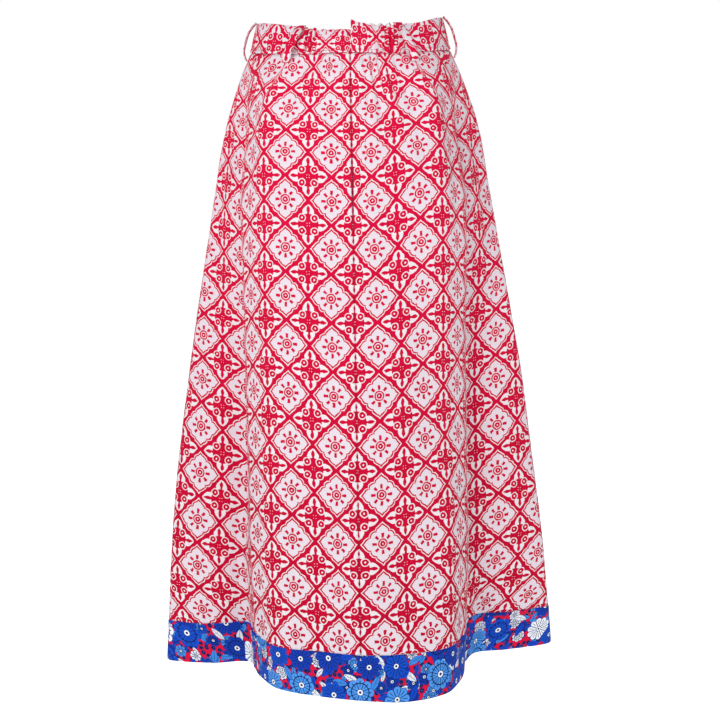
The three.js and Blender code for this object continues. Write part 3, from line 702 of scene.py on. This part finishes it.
# Scattered pointed leaves with a midrib and barbs.
leaves, entry, local, pick = scattered("scattered_leaves", "Length", 0.85)
turned = add(leaves, "VectorRotate", local, rotation_type="Z_AXIS")
give(turned.inputs["Angle"], calc("MULTIPLY", pick.outputs[0], 6.283))
axes = add(leaves, "SeparateXYZ", turned)
along = calc("ABSOLUTE", calc("DIVIDE", axes.outputs[0], entry.outputs[2]))
off = calc("ABSOLUTE", axes.outputs[1])
bulge = calc("SUBTRACT", 1.0, calc("MULTIPLY", along, along))
width = calc("MULTIPLY", bulge, calc("MULTIPLY", entry.outputs[2], 0.38))
inside = calc("SUBTRACT", width, off)
barb = calc("MODULO", calc("ADD", off, axes.outputs[0]), 2.4)
ink_lines = joined("MAXIMUM", calc("LESS_THAN", inside, 0.45), calc("LESS_THAN", off, 0.22),
                   calc("COMPARE", barb, 0.0, 0.3))
body = one_of(pick.outputs[1], "#3F8FEA", ((0.3, "#E9EEF8"), (0.55, "#0A49CC")))
add(leaves, "NodeGroupOutput", mixed(calc("GREATER_THAN", inside, 0.0), entry.outputs[3],
                                     mixed(ink_lines, body, NAVY)))

# Smooth printed cotton of the hem, matt, with the same fine weave as the body. Each layer of the
# print has a motif, its spacing and size, and its offset, all in mm.
hem_cotton, tree = new_material("flower_printed_cotton")
where = add(tree, "UVMap", uv_map="cloth")
mm = vector_calc("MULTIPLY", where, (1000.0, 1000.0, 1000.0))
layer = linear("#D80A3A")
for motif, spacing, size, right, up in ((flowers, 8.5, 3.3, 3.0, 11.0), (leaves, 17.0, 8.5, 0.0, 5.0),
                                        (flowers, 21.0, 9.8, 31.0, 7.0), (leaves, 25.0, 11.5, 14.0, 2.0),
                                        (flowers, 43.0, 19.5, 9.0, 26.0)):
    moved = vector_calc("ADD", mm, (right, up, 0.0))
    layer = add(tree, "Group", moved, spacing, size, layer, node_tree=motif)
surface(tree, layer.outputs[0], {"Roughness": 0.82, "Specular IOR Level": 0.15}, **plain_weave(tree, where))

# distances below the top of the band and the half thickness at each
BELOW = np.array([0.2, 0.7, 1.6, 3.5, 8, 14, 20, 27, 34, 41, 47, 53, 57, 58.6, 59.5, 59.9])
hem_half = [0.25, 0.7, 0.95] + [1] * 10 + [0.9, 0.6, 0.25]
hem_down = BAND_TOP + (1 - BAND_TOP) * BELOW / HEM_BAND_HEIGHT
# the two back halves are joined at the centre back into one run from left to right
left_run, right_run = (panel_surface(part, across_half(part, 73), hem_down, centre_seam=False)[:3]
                       for part in ("left", "right"))
back_run = [np.concatenate([sign * a[:, ::-1], b[:, 1:]], axis=1)
            for a, b, sign in zip(left_run, right_run, (1, -1, 1))]
front_run = panel_surface("front", np.linspace(0, 1, 171), hem_down)[:3]
for node, run, width in (("hem_band_back", back_run, 0.72), ("hem_band_front", front_run, 0.70)):
    points, u, v = run
    direction = facing(points, node == "hem_band_front")
    coords = np.stack([u, -v], -1)
    piece = folded_cloth(node + "_cloth", points, direction, hem_half, coords, hem_cotton)
    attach(piece, "root")
    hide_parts(node)

# ------------------------------
# Waistband: a folded band of the same printed cotton, 40 mm tall. The back is elasticated between
# the loops and the zip and puckers upright; the right end laps over the left one.
WAIST_TOP = {
    "left": [[0, 2], [0.22, 3], [0.42, 9], [0.7, 16], [1, 20]],
    "right": [[0, 13], [0.07, 10], [0.2, 8], [0.5, 11], [0.75, 20], [1, 24]],
    "front": [[0, 20], [0.3, 19], [0.5, 19], [0.7, 21], [1, 24]],
}
TAPER = (121 / 130, 92 / 102)
UNDERLAP = 25.0


def band_surface(part, s, v, shift=0.0):
    """Middle of the band at distances s along the waist seam and shares v of its height."""
    s, v = np.broadcast_arrays(np.asarray(s, float), np.asarray(v, float))
    length = SEAM_LENGTH[part]
    under = (s < 0) if part == "left" else np.zeros(s.shape, bool)
    place = np.abs(s)

    def at(places):
        return np.where(under[..., None], on_run(SEAM_RUN["right"], places), on_run(SEAM_RUN[part], places))
    points = at(place)
    run = at(place + 0.5) - at(np.maximum(place - 0.5, 0))
    run /= np.linalg.norm(run, axis=-1, keepdims=True) + 1e-9
    sign = np.where(under | (part == "right"), 1.0, -1.0)
    out = np.stack([run[..., 1] * sign, -run[..., 0] * sign], -1)
    f = np.clip(s / length, 0, 1)
    low, high = through(SEAM[part], f), through(WAIST_TOP[part], f)
    narrow = v * (1.0 if part == "front" else np.where(f > 0.55, 1.0, ease(0.2, 0.55, f) * 0.4 + 0.6))
    bulge = 0.6 if part == "front" else 2.6 - 2.0 * ease(0.3, 0.5, f)
    o = shift + bulge * np.sin(np.pi * np.clip(v, 0, 1)) + 1.2 * bell(v, 0.07)
    x = points[..., 0] * (1 + (TAPER[0] - 1) * narrow) + out[..., 0] * o
    y = points[..., 1] * (1 + (TAPER[1] - 1) * narrow) + out[..., 1] * o
    return np.stack([x, y, low + (high - low) * v], -1)


# deep creases beside the loops: distance along the seam, width, depth and lean
PINCHES = {"left": [(57.5, 1.8, 5.4, -5), (50.5, 1.4, 4.0, -2), (45, 1.2, 2.2, 2), (36, 1.1, 1.4, -3),
                    (70, 1.4, 1.8, 3)],
           "right": [(37, 1.1, 1.4, 2), (45, 1.2, 2.4, 3), (51.5, 1.6, 5.0, -3), (58.5, 1.5, 4.2, 4),
                     (72, 1.4, 2.0, -3)]}
ELASTIC_END = 68.0
TAKE_UP = 0.42


def ruched(s):
    """One along the elasticated part of the band, none beyond it."""
    return ease(11, 24, s) * (1 - ease(57, 64, s))


def ruching(part, s, v):
    """Upright puckers of the elasticated part, deepest next to the belt loop."""
    growth = 0.7 + 1.1 * ease(22, 56, s)
    lean = s + 2.2 * np.sin(2.6 * v + s / 9.0 + WAVE[part])
    # round ridges with sharp valleys between them
    waves = (2 * np.abs(np.cos(np.pi * (lean / 9.6 + WAVE[part])))**0.7 - 1.2
             + 0.5 * np.sin(2 * np.pi * (lean / 5.3 + 2 * WAVE[part])))
    pinch = sum(-depth * bell(s - at - tilt * (v - 0.5), width) for at, width, depth, tilt in PINCHES[part])
    return ruched(s) * growth * waves + pinch


# shares of the band's height and the half thickness at each
BAND_UP = [-0.022, 0.0, 0.035, 0.08, 0.16, 0.26, 0.37, 0.48, 0.59, 0.7, 0.8, 0.88, 0.94, 0.975, 0.992, 1.0]
BAND_HALF = [0.75, 1.05, 1.15, 1.15, 1.15, 1.1, 1.1, 1.1, 1.1, 1.1, 1.15, 1.15, 1.1, 0.95, 0.65, 0.3]
BAND_HEIGHT = 40.0
# distance along and up the band of the first pale lozenge
BAND_PRINT = {"left": (13.0, 14.5), "right": (17.0, 21.5), "front": (30.0, 18.0)}
band_lines = []
for part, node in (("left", "waistband_back_left"), ("right", "waistband_back_right"),
                   ("front", "waistband_front")):
    length = SEAM_LENGTH[part]
    if part == "front":
        s = np.linspace(0.15, length - 0.15, 170)
    else:
        first = -UNDERLAP if part == "left" else 1.5
        s = np.concatenate([np.arange(first, ELASTIC_END, 0.8), np.linspace(ELASTIC_END, length - 0.15, 70)])
    S, V = np.meshgrid(s, BAND_UP)
    shift = 0.0 if part == "front" else ruching(part, S, V)
    if part == "left":
        shift = shift - 3.4 * (1 - ease(2, 11, S))
    points = band_surface(part, S, V, shift)
    if part != "front":
        # the top edge scallops between the puckers
        rise = V**3 * ruched(S) * (0.7 + 1.2 * ease(25, 52, S))
        points[..., 2] += rise * np.sin(2 * np.pi * (S / 12.3 + WAVE[part]))
    if part == "right":
        # the free end stands a little proud of the underlap
        points[..., 1] -= 0.9 * (1 - ease(1.5, 14, S)) * V
        points[..., 2] += 1.6 * (1 - ease(1.5, 9, S)) * V**2
    direction = facing(points, part == "right")
    # cloth distance: the elastic takes up some of the gathered length
    spread = S if part == "front" else S + TAKE_UP * np.minimum(S, ELASTIC_END)
    first, up = BAND_PRINT[part]
    coords = np.stack([spread - first + TIP, V * BAND_HEIGHT - up + TIP], -1)
    coords[..., 0] *= -1.0 if part != "right" else 1.0
    piece = folded_cloth(node + "_cloth", points, direction, BAND_HALF, coords, poplin)
    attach(piece, "root")
    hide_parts(node)
    band_lines.append((points + direction * 1.3)[3])

# ------------------------------
# Belt loops: six strips of the same cotton, 12 mm wide, folded in three and edge stitched, sewn
# down above the band and just below its seam so that they bow outward.
# run of the band, distances of top and foot along it, and bow
LOOPS = {
    "loop_back_left": ("left", 65, 80, 9.4),
    "loop_back_right": ("right", 65, 80, 9.4),
    "loop_side_left": ("left", 184, 184, 7.4),
    "loop_side_right": ("right", 184, 184, 7.4),
    "loop_front_left": ("front", 116, 108, 9.4),
    "loop_front_right": ("front", 252, 260, 9.4),
}
LOOP_WIDTH, LOOP_WALL, LOOP_FOOT = 12.0, 1.6, 11.0
# shares of half the width, and the half thickness at each: thinner along the stitching
LOOP_ACROSS = [-1, -0.97, -0.9, -0.8, -0.55, -0.25, 0, 0.25, 0.55, 0.8, 0.9, 0.97, 1]
LOOP_HALF = [0.2, 0.5, 0.72, 0.62, 0.8, 0.8, 0.8, 0.8, 0.8, 0.62, 0.72, 0.5, 0.2]
# bow of a loop at shares of its length
LOOP_BOW = [[0, 0], [0.1, 0.42], [0.26, 0.9], [0.5, 1], [0.74, 0.92], [0.9, 0.45], [1, 0]]


def loop_path(part, top, foot, bow):
    """Centre line of a loop from its upper end to its foot, with the directions across and out."""
    length = SEAM_LENGTH[part]
    end = LOOP_WALL / 2 + 0.45
    high = band_surface(part, top, 1.0, 1.2 + end) + [0, 0, 1.5]
    q = foot / length
    if part != "front":
        for _ in range(30):
            q += foot / length - float(cloth_places(part, np.array(q), length, 0.0)[1]) / length
    down = np.array([0.0, LOOP_FOOT / (SIDE_TOP - HEM_Z)])
    low3 = hanging(part, np.array([q - 0.02, q, q + 0.02]), down)[0][1]
    beside = (low3[2] - low3[0]) * (1 if part == "right" else -1)
    across = beside * [1, 1, 0]
    across /= np.linalg.norm(across)
    out = np.array([across[1], -across[0], 0.0])
    low = low3[1] + out * (0.6 + end + 0.5)
    share = np.linspace(0, 1, 41)[:, None]
    return high + (low - high) * share + out * bow * through(LOOP_BOW, share[:, 0])[:, None], across, out


loop_lines = []
for number, (node, loop) in enumerate(LOOPS.items()):
    path, across, out = loop_path(*loop)
    side = np.array(LOOP_ACROSS) * LOOP_WIDTH / 2
    # the strip curls a little across its width
    hollow = 0.5 * (side / 6.0)**2
    middle = path[None, :, :] + side[:, None, None] * across + hollow[:, None, None] * -out
    direction = facing(middle, False)
    if (direction @ out).sum() < 0:
        direction = -direction
    along = travelled(path)
    S, V = np.meshgrid(along, side)
    coords = np.stack([V + 30 + 17 * number, -S + 23 * number], -1)
    piece = folded_cloth(node + "_cloth", middle, direction, LOOP_HALF, coords, poplin)
    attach(piece, "root")
    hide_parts(node)
    # a row of stitches along each edge and two across each end
    for row in (3, 9):
        loop_lines.append(middle[row, 3:38] + direction[row, 3:38] * 0.75)
    for stop in (4, 37):
        bar = middle[2:11, stop] + direction[2:11, stop] * 0.85
        loop_lines += [bar, bar + (path[stop] - path[stop - 1]) * 0.9]

# ------------------------------
# Machine stitching in crimson polyester thread: one row along the lower edge of the waistband,
# rows along both edges of each loop and bar tacks at its ends. Stitches are 2.6 mm long.
thread, tree = new_material("crimson_polyester_thread")
where = add(tree, "TexCoord").outputs["Object"]
ply = add(tree, "TexWave", where, 900.0, bands_direction="DIAGONAL")
surface(tree, mixed(ply.outputs[1], "#9E1638", "#C4284E"), {"Roughness": 0.55})

stitching, entry = new_group("stitch_rows", "GeometryNodeTree",
                             {"Geometry": "Geometry", "Pitch": "Float", "Length": "Float",
                              "Thickness": "Float", "Thread": "Material"}, {"Geometry": "Geometry"})
rows = add(stitching, "GeometryNodeMeshToCurve", entry.outputs["Geometry"])
spaced = add(stitching, "GeometryNodeResampleCurve", mode="LENGTH")
aligned = add(stitching, "FunctionNodeAlignRotationToVector", axis="X")
tangent = add(stitching, "GeometryNodeInputTangent")
stitch = add(stitching, "GeometryNodeMeshIcoSphere", 0.5, 2)
size = add(stitching, "CombineXYZ", entry.outputs[2], entry.outputs[3], entry.outputs[3])
placed = add(stitching, "GeometryNodeInstanceOnPoints")
real = add(stitching, "GeometryNodeRealizeInstances", placed)
dyed = add(stitching, "GeometryNodeSetMaterial")
for node, name, source in ((spaced, "Curve", rows), (spaced, "Length", entry.outputs["Pitch"]),
                           (aligned, "Vector", tangent), (placed, "Points", spaced),
                           (placed, "Instance", stitch), (placed, "Rotation", aligned),
                           (placed, "Scale", size), (dyed, "Geometry", real),
                           (dyed, "Material", entry.outputs["Thread"])):
    give(node.inputs[name], source)
add(stitching, "NodeGroupOutput", dyed)


def sewn(name, lines, pitch, length, thickness, material):
    """Rows of stitches along lines of points in millimetres."""
    verts, edges = [], []
    for line in lines:
        edges += [(len(verts) + k, len(verts) + k + 1) for k in range(len(line) - 1)]
        verts += (np.asarray(line) / 1000.0).tolist()
    mesh = bpy.data.meshes.new(name)
    mesh.from_pydata(verts, edges, [])
    piece = in_scene(name, mesh)
    rows = piece.modifiers.new("stitches", "NODES")
    rows.node_group = stitching
    sockets = {socket.name: socket.identifier for socket in stitching.interface.items_tree}
    rows[sockets["Thread"]] = material
    for label, value in (("Pitch", pitch), ("Length", length), ("Thickness", thickness)):
        rows[sockets[label]] = value / 1000.0
    settle(piece)
    for polygon in piece.data.polygons:
        polygon.use_smooth = True
    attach(piece, "root")


sewn("waistband_stitching", band_lines, 3.1, 2.6, 0.5, thread)
sewn("belt_loop_stitching", loop_lines, 2.9, 2.4, 0.45, thread)

# ------------------------------
# Concealed zip: woven tape behind each edge of the centre back opening and a nylon coil between,
# hidden by the seam edges and seen only from inside. The slider, shut in under the waistband, is not
# modelled.
WAIST_SEAM = -26.0
zip_down = np.linspace(WAIST_SEAM - 2.5, WAIST_SEAM - ZIP_LENGTH - 12, 60)
zip_sections = [section(z) for z in zip_down]
inward = 1.4 + 1.9 * bell(WAIST_SEAM - zip_down, GATHER["fade"])

# Twill woven polyester tape, matt; the twill is drawn at 1 mm.
weave, tree = new_material("crimson_zip_tape")
where = add(tree, "UVMap", uv_map="cloth")
rib = add(tree, "TexWave", where, 160.0, bands_direction="DIAGONAL")
surface(tree, mixed(rib.outputs[1], "#8E1030", "#B01A40"), {"Roughness": 0.8}, rib.outputs[1],
        bump=(0.2, 0.0004))

# distances from the centre seam across a tape, and its half thickness at each
TAPE_ACROSS = np.array([0.9, 1.2, 1.8, 3.5, 6, 8.5, 10.2, 10.8, 11.0])
TAPE_HALF = [0.15, 0.4, 0.35, 0.3, 0.3, 0.3, 0.3, 0.25, 0.12]
for side, sign in (("left", -1), ("right", 1)):
    points = np.zeros((len(TAPE_ACROSS), len(zip_down), 3))
    for j, z in enumerate(zip_down):
        points[:, j, 0] = sign * TAPE_ACROSS
        points[:, j, 1] = on_run(zip_sections[j][side], TAPE_ACROSS)[:, 1] + inward[j]
        points[:, j, 2] = z
    direction = facing(points, sign > 0)
    S, V = np.meshgrid(zip_down, TAPE_ACROSS)
    coords = np.stack([V, S], -1)
    piece = folded_cloth("zip_tape_" + side, points, direction, TAPE_HALF, coords, weave)
    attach(piece, "root")
    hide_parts("zip_tape")

# Nylon coil, glossy, with a tooth every 1.3 mm on each side.
nylon, tree = new_material("crimson_nylon_coil")
surface(tree, "#A5183C", {"Roughness": 0.35})
coil_lines = [[(sign * 0.75, on_run(runs["right"], 0.0)[1] + depth + 0.3, z)
               for runs, depth, z in zip(zip_sections, inward, zip_down)] for sign in (-1, 1)]
sewn("zip_coil", coil_lines, 1.3, 0.8, 1.5, nylon)

# ------------------------------
# Floor and light: a plain white studio with soft light from all round and a broad key.
floor_mesh = bpy.data.meshes.new("floor")
FLOOR_Z = -1.25
corners = [(x, y, FLOOR_Z) for x, y in ((-14, -14), (14, -14), (14, 14), (-14, 14))]
floor_mesh.from_pydata(corners, [], [(0, 1, 2, 3)])
floor = in_scene("floor", floor_mesh)
white_floor, tree = new_material("matt_white_floor")
# the far floor is lit up to the white of the background
where = add(tree, "TexCoord").outputs["Object"]
away = vector_calc("LENGTH", vector_calc("MULTIPLY", where, (1.0, 1.0, 0.0)))
glow = add(tree, "MapRange", away.outputs["Value"], 0.35, 0.8, 0.0, 0.75)
surface(tree, "#FBFBFB", {"Roughness": 0.9, "Emission Color": "#FFFFFF", "Emission Strength": glow})
floor_mesh.materials.append(white_floor)
world = bpy.data.worlds.new("studio")
bpy.context.scene.world = world
world.use_nodes = True
sky = world.node_tree
# the backdrop is seen as full white and lights the skirt with less
seen = add(sky, "LightPath").outputs["Is Camera Ray"]
colour, strength = sky.nodes["Background"].inputs[:2]
give(colour, "#FFFFFF")
give(strength, add(sky, "MapRange", seen, 0.0, 1.0, 0.39, 1.0))
for name, place, size, watts in (("key", (-0.9, -2.5, 1.25), 1.0, 40.5), ("fill", (1.7, -2.2, 0.4), 1.8, 5.0),
                                 ("back", (0.3, 2.8, 1.2), 2.0, 24.0)):
    lamp = bpy.data.lights.new(name, "AREA")
    lamp.size, lamp.energy = size, watts
    light = in_scene(name, lamp)
    aim = Vector((0, 0, -0.42)) - Vector(place)
    turned = aim.to_track_quat("-Z", "Y").to_matrix().to_4x4()
    turned.translation = Vector(place)
    light.matrix_world = turned
bpy.context.scene.view_settings.view_transform = "Standard"
